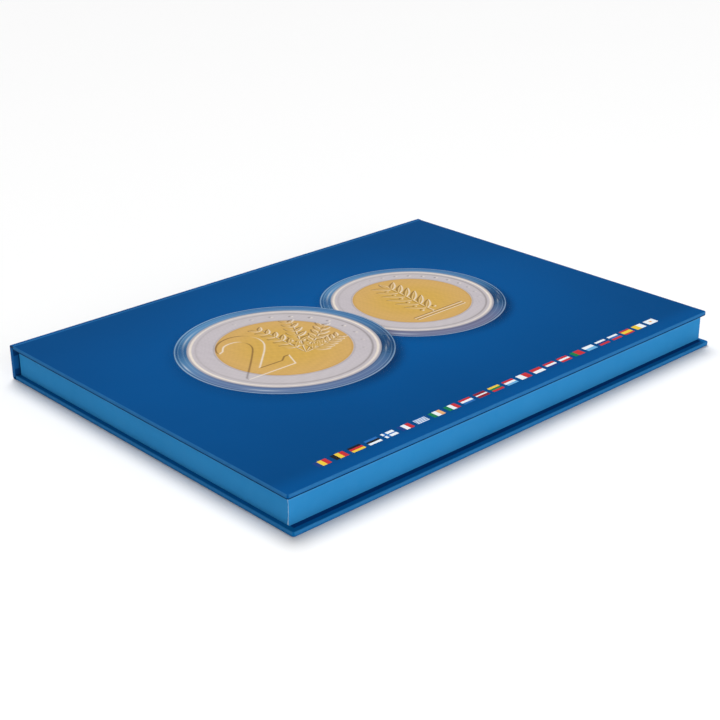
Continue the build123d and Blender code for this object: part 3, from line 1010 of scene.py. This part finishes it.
@dataclass
class Case:
    """The wrapped case: lid, spine and base boards, their papers, and the papers over both hinges.

    Attributes:
        bend: the radius that the paper turns round at a hinge.
        paper, lining: the thicknesses of the cover paper and of the lining.
        hair: the gap between a hinge lining and what it lies on.
        onto_board, up_spine, past_end: how far a hinge lining reaches over the board, up the spine and past the ends.
    """

    bend: float = 1.2 * MM
    paper: float = 0.25 * MM
    lining: float = 0.1 * MM
    hair: float = 0.02 * MM
    onto_board: float = 0.9 * MM
    up_spine: float = 3.4 * MM
    past_end: float = 2.8 * MM
    ink: Colour = paint(0, 68, 124)
    pale_ink: Colour = paint(0, 83, 149)
    ledge_ink: Colour = paint(8, 98, 158)
    # The painted highlight's colour along the board edges.
    edge_highlight: Colour = paint(66, 140, 196)

    def covering(self, node: str, arris: float, fold_level: float = FAR,
                 glow: Triple | None = None,
                 inks: tuple[Colour, Colour] | None = None) -> Material:
        """The blue cover paper, with its painted edge highlight and painted fold shade fitted to one node's box.

        Args:
            node: the node that it covers.
            arris: the height of the edge that gets the painted highlight.
            fold_level: the height where the paper folds under and the painted shade line lies.
            glow: the middle and radius of a paler printed pool.
            inks: the deep and the pale ink, where they aren't the lid's.
        Returns:
            The material.
        """
        centre, half = middle(node)
        deep, pale = inks or (self.ink, self.pale_ink)
        return PaperFinish(f"{node}_blue", deep, pale, self.edge_highlight, centre=(centre.x, centre.y, 0.0),
                           half=(half.x, half.y, FAR), arris=arris, fold_level=fold_level, glow=glow).material()

    def build(self) -> None:
        """Dress the boards, papers and linings, and lay the papers over the hinges."""
        lid_low, lid_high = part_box("lid_cover_paper")
        # The lid gets a painted highlight at its top arris and a painted shade line at its lower edge; the ledge a
        # painted highlight.
        dress(self.covering("lid_cover_paper", lid_high.z, lid_low.z, (0.0, 0.014, 0.15)), "lid_cover_paper")
        ledge = self.covering("base_cover_paper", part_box("base_cover_paper")[1].z, inks=(self.ledge_ink,) * 2)
        dress(ledge, "base_cover_paper")
        plain = self.covering("spine_cover_paper", FAR)
        dress(plain, "spine_cover_paper")
        lining = PaperFinish("lining_blue", paint(8, 60, 114), paint(10, 64, 119), paint(30, 88, 146),
                             roughness=0.55).material()
        dress(lining, "lid_lining", "spine_lining", "base_lining", "tray_floor_lining")
        dress(BoardFinish().material(), "lid_board", "spine_board", "base_board")
        self.hinge_papers(plain)
        self.hinge_linings(lining)

    def hinge_papers(self, finish: Material) -> None:
        """Lay a paper round each hinge: along the board's end, a quarter turn, and along the spine.

        Args:
            finish: the cover paper.
        """
        for node, board, sign in (("lower_hinge_paper", Body.BASE, 1.0), ("upper_hinge_paper", Body.LID, -1.0)):
            low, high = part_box(node)
            level, far = (low.z, high.z) if sign > 0 else (high.z, low.z)
            path = bent((low.y, level), (high.y, level), (high.y, far), self.bend)
            piece = make_piece(node.replace("paper", "wrap"), *self.strip(path, sign * self.paper, low.x, high.x))
            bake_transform(piece)
            settle(piece, finish=finish, node=node)

    def hinge_linings(self, finish: Material) -> None:
        """Bridge the inside of each hinge with lining: up the spine, a small turn, and onto the board.

        Args:
            finish: the lining paper.
        """
        base, lid, spine = (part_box(name) for name in ("base_lining", "lid_lining", "spine_lining"))
        face, back = spine[0].y - self.hair, base[1].y - self.onto_board
        for name, board, level, sign in (("lower_hinge_lining", Body.BASE, base[1].z + self.hair, 1.0),
                                         ("upper_hinge_lining", Body.LID, lid[0].z - self.hair, -1.0)):
            path = bent((back, level), (face, level), (face, level + sign * self.up_spine), 0.4 * MM)
            piece = make_piece(name, *self.strip(path, sign * self.lining, base[0].x - self.past_end,
                                                 base[1].x + self.past_end))
            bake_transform(piece)
            settle(piece, finish=finish)

    @staticmethod
    def strip(path: Array, thickness: float, left: float, right: float) -> Shape:
        """Carry a hinge strip's path from one end of the case to the other."""
        return carried(path, thickness, np.linspace(left, right, 60), Along.X)


@dataclass
class LidPrint:
    """What is printed on the lid: two coins in capsules, and a row of banded fields along the fore-edge."""

    gap: float = 0.03 * MM
    first: float = -121.6 * MM
    last: float = 117.1 * MM
    row: float = 12.1 * MM
    field_size: Pair = (7.7 * MM, 5.0 * MM)

    def build(self) -> None:
        """Print the fields and both coins, and let them ride on the lid."""
        low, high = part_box("lid_cover_paper")
        ink = InkFinish("lid_ink").material()
        places = np.linspace(self.first, self.last, len(FIELDS))
        fields = [(pattern, (x, low.y + self.row)) for pattern, x in zip(FIELDS, places)]
        made = [field_piece("printed_fields", fields, self.field_size, high.z + self.gap, ink)]
        for coin in (
                PrintedCoin("print_right", (46.6 * MM, 13.3 * MM), 46.5 * MM, 0.725, high.z + 0.05 * MM, sprig, 1.132,
                            (-0.008, -0.02), 30, paint(128, 116, 138)),
                PrintedCoin("print_left", (-49.2 * MM, 11.8 * MM), 51.6 * MM, 0.705, high.z + 0.09 * MM, numeral, 1.128,
                            (0.0, -0.012), 24, paint(104, 116, 152))):
            made += coin.build(ink)
        for piece in made:
            settle(piece, Body.LID)


@dataclass
class Tray:
    """The tray: four paper-wrapped walls round a floor, with a bare paper seam at one corner."""

    seam_width: float = 0.26 * MM
    seam_flare: float = 0.7 * MM

    def build(self) -> None:
        """Dress the walls and floor, and add the seam."""
        papers, walls = (self.nodes(ends) for ends in (("paper",), ("wall", "board")))
        low, high = self.reach_of(papers)
        centre, half = (low + high) / 2, (high - low) / 2
        # A painted highlight along the walls' top edge, with a paler painted tint fading down their outer faces.
        finish = PaperFinish("tray_blue", paint(20, 126, 188), paint(26, 132, 194), paint(110, 176, 222),
                             roughness=0.5, centre=(centre.x, centre.y, 0.0), half=(half.x, half.y, FAR),
                             arris=high.z).material()
        dress(finish, *papers)
        dress(BoardFinish("tray_greyboard").material(), *walls)
        self.seam(low, high)

    @staticmethod
    def nodes(ends: tuple[str, ...]) -> list[str]:
        """The tray's nodes whose names have one of the ends given."""
        return [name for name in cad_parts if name.startswith("tray_") and name.endswith(ends)]

    @staticmethod
    def reach_of(names: Sequence[str]) -> tuple[Vector, Vector]:
        """The lowest and highest corner of a few nodes together."""
        boxes = [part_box(name) for name in names]
        return Vector(map(min, *(b[0] for b in boxes))), Vector(map(max, *(b[1] for b in boxes)))

    def seam(self, low: Vector, high: Vector) -> None:
        """Lay the bare paper edge down the front left corner: a strip whose width wavers and flares at its foot.

        Args:
            low, high: the corners of the walls' box.
        """
        height = np.linspace(0, 1, 60)[:, None]
        across = np.linspace(0, 1, 5)[None, :]
        waver = 0.10 * MM * np.sin(9 * height + 1) * np.sin(23 * height)
        width = self.seam_width + waver + self.seam_flare * (1 - height) ** 8
        drift = 0.12 * MM * np.sin(7 * height + 0.6)
        x = low.x - 0.05 * MM * np.sin(np.pi * across) - 0.03 * MM
        y = low.y + 0.22 * MM + drift + width * across
        z = low.z + 0.3 * MM + (high.z - low.z - 0.5 * MM) * height
        piece = make_piece("corner_seam", beside(x, y, z), grid_faces(60, 5)[:, ::-1])
        settle(piece, Body.BASE, PaperFinish(
            "bare_paper", paint(158, 198, 230), paint(190, 216, 236), paint(220, 232, 240), roughness=0.7).material())


@dataclass
class CoinPanel:
    """The lift-out panel: foam, a velvet sheet sunk into its wells, a label under each well, and two ribbon pulls.

    Attributes:
        columns, rows: the middles of the wells.
        well, roll, sunk: a well's radius, its edge's rounding, and how far down the velvet goes.
        label_drop: how far a label lies below its well.
        label_field, label_rule: the sizes of what is printed on it.
        ribbon_rise, ribbon_thickness: how far a ribbon's tip lifts, and its thickness.
    """

    columns: tuple[float, ...] = tuple((-117 + 47 * k) * MM for k in range(6))
    rows: tuple[float, ...] = tuple((-70.85 + 50 * k) * MM for k in range(4))
    well: float = 16.22 * MM
    roll: float = 0.45 * MM
    sunk: float = 3.6 * MM
    label_drop: float = 22.0 * MM
    label_field: Pair = (6.2 * MM, 4.2 * MM)
    label_rule: Pair = (21.0 * MM, 0.25 * MM)
    ribbon_rise: float = 0.8 * MM
    ribbon_thickness: float = 0.35 * MM

    def build(self) -> None:
        """Build the velvet, labels and ribbons, and dress the foam."""
        foam = PileFinish("navy_foam", paint(16, 36, 84), paint(40, 70, 126), pile=0.6 * MM, sheen=0.1).material()
        dress(foam, "spacer_foam", "coin_panel_core")
        self.velvet()
        self.labels()
        self.ribbons()

    def cell(self, centre: Pair, low: Pair, high: Pair) -> Shape:
        """The velvet round one well.

        Args:
            centre: the well's middle.
            low, high: the corners of the rectangle that it fills.
        Returns:
            Points and quads. Rings of points run from down in the well, over a rolled edge, then in even shares
            from the circle to the rectangle.
        """
        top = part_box("coin_panel_velvet")[1].z
        side = np.linspace(-1, 1, 25)[:-1]
        square = np.vstack([beside(side, -1.0), beside(1.0, side), beside(-side, 1.0), beside(-1.0, -side)])
        angle = np.arange(len(square)) * (2 * np.pi / len(square)) - 0.75 * np.pi
        circle = beside(np.cos(angle), np.sin(angle))
        turn = np.linspace(0, np.pi / 2, 6)
        radius = np.concatenate([[self.well], self.well + self.roll * (1 - np.cos(turn))])
        drop = np.concatenate([[self.sunk], self.roll * (1 - np.sin(turn))])
        lip = np.array(centre) + radius[:, None, None] * circle
        mid, half = (np.array(low) + high) / 2, (np.array(high) - low) / 2
        share = np.linspace(0, 1, 6)[1:, None, None]
        outer = mid + square * half
        flat = lip[-1] + share * (outer - lip[-1])
        level = np.concatenate([lip, flat])
        z = top - np.concatenate([drop, np.zeros(5)])
        points = beside(level[..., 0], level[..., 1], z[:, None])
        return points, grid_faces(len(z), len(square), wrap_columns=True)[:, ::-1]

    def velvet(self) -> None:
        """Join the cells of all wells into one sheet with a rolled border."""
        low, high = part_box("coin_panel_velvet")
        xs, ys = (np.concatenate([[start + self.roll], (np.array(at)[1:] + at[:-1]) / 2, [end - self.roll]])
                  for start, at, end in ((low.x, self.columns, high.x), (low.y, self.rows, high.y)))
        cells = [self.cell((x, y), (xs[i], ys[j]), (xs[i + 1], ys[j + 1]))
                 for i, x in enumerate(self.columns) for j, y in enumerate(self.rows)]
        count = cells[0][0].reshape(-1, 3).shape[0]
        points = np.vstack([c[0].reshape(-1, 3) for c in cells])
        faces = np.vstack([c[1] + k * count for k, c in enumerate(cells)])
        edge, edge_faces = self.border(low, high)
        piece = make_piece("panel_velvet", np.vstack([points, edge]), faces, edge_faces + len(points))
        settle(piece, Body.BASE, PileFinish("blue_velvet", paint(6, 22, 62), paint(24, 58, 128)).material(),
               "coin_panel_velvet")

    def border(self, low: Vector, high: Vector) -> Shape:
        """The velvet's rolled outer edge: a quarter round, then a short fall, carried round the outline.

        Args:
            low, high: the corners of the panel's box.
        Returns:
            Points and quads of the border.
        """
        turn = np.linspace(0, np.pi / 2, 5)
        out = np.concatenate([self.roll * np.sin(turn), [self.roll]])
        drop = np.concatenate([self.roll * (1 - np.cos(turn)), [3.0 * MM]])
        quarter = np.repeat(np.arange(4), 5)
        angle = quarter * np.pi / 2 + np.tile(np.linspace(0, np.pi / 2, 5), 4)
        corner_x = np.where((quarter == 0) | (quarter == 3), high.x - self.roll, low.x + self.roll)
        corner_y = np.where(quarter < 2, high.y - self.roll, low.y + self.roll)
        x = corner_x + out[:, None] * np.cos(angle)
        y = corner_y + out[:, None] * np.sin(angle)
        return beside(x, y, high.z - drop[:, None]).reshape(-1, 3), grid_faces(6, 20, wrap_columns=True)[:, ::-1]

    def labels(self) -> None:
        """Dress the labels and print a small banded field on each, in the same order as on the lid."""
        dress(PaperFinish("label_white", paint(222, 222, 216), paint(232, 232, 228), paint(205, 205, 200),
                          roughness=0.6).material(), "well_labels")
        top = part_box("well_labels")[1].z + 0.03 * MM
        places = [(x, y - self.label_drop) for y in reversed(self.rows) for x in self.columns]
        ink = InkFinish("label_ink", 0.55).material()
        fields = [(pattern, (x - 12.3 * MM, y)) for pattern, (x, y) in zip(FIELDS, places)]
        rules = [("n", (x + 4.2 * MM, y - 1.8 * MM)) for x, y in places]
        for piece in (field_piece("label_fields", fields, self.label_field, top, ink),
                      field_piece("label_rules", rules, self.label_rule, top, ink)):
            settle(piece, Body.BASE)

    def ribbons(self) -> None:
        """Fold a ribbon pull over each end of the panel: up the end, over a small turn, and a tongue that lifts."""
        satin = RibbonFinish().material()
        for node, side in (("left_ribbon_pull", -1.0), ("right_ribbon_pull", 1.0)):
            low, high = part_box(node)
            outer, tip = (low.x, high.x) if side < 0 else (high.x, low.x)
            path = bent((outer, low.z), (outer, high.z), (tip, high.z), 0.6 * MM, 16)
            reach = np.abs(path[:, 0] - outer) / abs(tip - outer)
            path[:, 1] += self.ribbon_rise * smooth(0.25, 1.0, reach)
            points, faces = carried(path, side * self.ribbon_thickness, np.linspace(low.y, high.y, 12), Along.Y)
            piece = make_piece(node.replace("pull", "tab"), points, faces)
            settle(piece, Body.BASE, satin, node)


@dataclass
class CoinSet:
    """Twenty-four two-metal coins in clear capsules.

    Attributes:
        places: the middles of the coins.
        radius, inner: the radii of the coin and of its centre.
        bed, face: the levels of its underside and of its face.
        relief_height: how far the relief stands above the face.
        spokes: the steps round the ring.
    """

    places: list[Pair]
    radius: float = 12.875 * MM
    inner: float = 9.345 * MM
    bed: float = 10.6 * MM
    face: float = 12.5 * MM
    relief_height: float = 0.2 * MM
    spokes: int = 180

    def build(self) -> None:
        """Build the rings and centres, and dress the capsules."""
        rng = np.random.default_rng(24)
        self.rings()
        self.centres(rng.uniform(-0.12, 0.12, len(self.places)))
        dress(ClearFinish().material(), "capsule_bases", "capsule_covers")

    def rings(self) -> None:
        """Turn the outer rings: a rim each side, beads on the face, and reeds cut in the edge."""
        profile = np.array([(9.375, 10.6), (12.0, 10.6), (12.175, 10.45), (12.7, 10.45), (12.875, 10.62),
                            (12.875, 12.48), (12.7, 12.65), (12.3, 12.65), (12.15, 12.5), (11.6, 12.5), (11.2, 12.5),
                            (10.8, 12.5), (10.4, 12.5), (10.0, 12.5), (9.375, 12.5)]) * MM
        points, faces = turned(profile, self.spokes)
        reed = (np.arange(self.spokes) % 3 == 0) * 0.07 * MM
        edge = (profile[:, 0] > 12.8 * MM)[:, None]
        pull = 1 - edge * reed / self.radius
        points[..., :2] *= pull[..., None]
        bead = beads(points[..., 0] / self.radius, points[..., 1] / self.radius, 12, 0.84, 0.06)
        points[..., 2] += self.relief_height * bead * (profile[:, 1] == 12.5 * MM)[:, None]
        faces = outward(points, faces)
        places = np.array([(x, y, 0.0) for x, y in self.places])
        piece = make_piece("coin_outer_rings", *repeat_at(points, faces, places))
        silver = CoinMetalFinish("nickel_silver", (0.80, 0.80, 0.81), (0.62, 0.60, 0.58)).material()
        settle(piece, Body.BASE, silver, "coin_rings")

    def centres(self, turns: Array) -> None:
        """Strike the centres: a disc whose face carries one of four reliefs, each coin turned a little.

        Args:
            turns: how far each coin is turned, in radians.
        """
        spokes, rings = 72, 24
        radii = np.concatenate([np.linspace(0.5 * MM, self.inner, rings), [self.inner]])
        x, y, quads, fan = disc_grid(radii, spokes)
        high = np.concatenate([np.repeat(self.face, 1 + rings * spokes), np.repeat(self.bed, spokes)])
        count = len(x) + 1
        around = np.arange(spokes)
        first = len(x) - spokes
        floor = beside(len(x), first + (around + 1) % spokes, first + around)
        all_points, all_quads, all_fans = [], [], []
        reliefs = (numeral, sprig, leaf_fan, sunburst)
        for k, ((cx, cy), turn) in enumerate(zip(self.places, turns)):
            u, v = x / self.inner * 0.72, y / self.inner * 0.72
            cu, cv = u * math.cos(turn) + v * math.sin(turn), v * math.cos(turn) - u * math.sin(turn)
            lift = reliefs[k % 4](cu, cv) * (1 - smooth(0.64, 0.69, np.hypot(u, v)))
            z = high + self.relief_height * lift * (high == self.face)
            points = np.vstack([beside(x + cx, y + cy, z), [[cx, cy, self.bed]]])
            all_points.append(points)
            all_quads.append(quads + k * count)
            all_fans.append(np.vstack([fan, floor]) + k * count)
        piece = make_piece("coin_inner_discs", np.vstack(all_points), np.vstack(all_quads), np.vstack(all_fans))
        brass = CoinMetalFinish("nickel_brass", (0.90, 0.64, 0.22), (0.70, 0.46, 0.13)).material()
        settle(piece, Body.BASE, brass, "coin_centres")


@dataclass
class Studio:
    """The floor, the lights and the camera."""

    eye: Triple = (-0.50388, -0.53794, 0.32498)
    aim: Triple = (-0.01749, -0.01227, 0.010)
    roll: float = -0.415
    lens: float = 73.893
    horizon: float = 0.95
    zenith: float = 0.3
    key_strength: float = 2.36
    key_spread: float = 32.0
    key_heading: Triple = (-0.42, -0.78, -1.5)
    softbox: Triple = (-0.35, -1.5, 0.45)
    softbox_size: float = 1.2
    softbox_power: float = 12.0
    floor_reach: float = 40.0
    floor_drop: float = 0.05 * MM

    def build(self) -> None:
        """Set the floor, sky, camera, a broad key high behind the right, and a softbox at the front."""
        bpy.context.scene.view_settings.view_transform = "Standard"
        self.sky()
        self.floor()
        key = bpy.data.lights.new("high_key", "SUN")
        key.energy, key.angle = self.key_strength, math.radians(self.key_spread)
        self.hang(key, (0.0, 0.0, 0.0), Vector(self.key_heading))
        box = bpy.data.lights.new("front_softbox", "AREA")
        box.size, box.energy = self.softbox_size, self.softbox_power
        self.hang(box, self.softbox, -Vector(self.softbox))
        camera = bpy.data.cameras.new("camera")
        camera.lens, camera.sensor_width = self.lens, 36.0
        camera.clip_start, camera.clip_end = 0.01, 50.0
        bpy.context.scene.camera = self.hang(camera, self.eye, Vector(self.aim) - Vector(self.eye), self.roll)

    @staticmethod
    def hang(thing: bpy.types.ID, place: Triple, look: Vector, roll: float = 0.0) -> Piece:
        """Place a light or camera.

        Args:
            thing: the light's or camera's data.
            place: where it hangs.
            look: the direction that it faces.
            roll: its turn about that direction, in degrees.
        Returns:
            The new object.
        """
        holder = bpy.data.objects.new(thing.name, thing)
        holder.location = place
        holder.rotation_mode = "QUATERNION"
        holder.rotation_quaternion = look.to_track_quat("-Z", "Y") @ Quaternion((0, 0, 1), math.radians(roll))
        bpy.context.scene.collection.objects.link(holder)
        return holder

    def sky(self) -> None:
        """A white horizon that falls softly to a dimmer zenith, by the height of the direction looked in."""
        world = bpy.data.worlds.new("studio_sky")
        world.use_nodes = True
        bench = NodeBench(world.node_tree)
        rise = bench.parts(bench.add("ShaderNodeTexCoord").outputs["Generated"])[2]
        shell = world.node_tree.nodes["Background"]
        shell.inputs["Color"].default_value = (1.0, 1.0, 1.0, 1.0)
        bench.feed(bench.span(rise, 0.04, 0.2, self.horizon, self.zenith), shell, "Strength")
        bpy.context.scene.world = world

    def floor(self) -> None:
        """Lay the floor: an even square grid just under the case."""
        edge = np.linspace(-self.floor_reach, self.floor_reach, 9)
        x, y = np.meshgrid(edge, edge)
        piece = make_piece("floor", beside(x, y, -self.floor_drop), grid_faces(9, 9))
        piece.data.materials.append(FloorFinish().material())


def main() -> None:
    logging.basicConfig(level=logging.INFO, format="%(name)s %(message)s")
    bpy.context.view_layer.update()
    panel = CoinPanel()
    places = [(x, y) for y in reversed(panel.rows) for x in panel.columns]
    for part in (Case(), LidPrint(), Tray(), panel, CoinSet(places), Studio()):
        LOG.info("building %s", type(part).__name__)
        part.build()


if __name__ == "__main__":
    main()
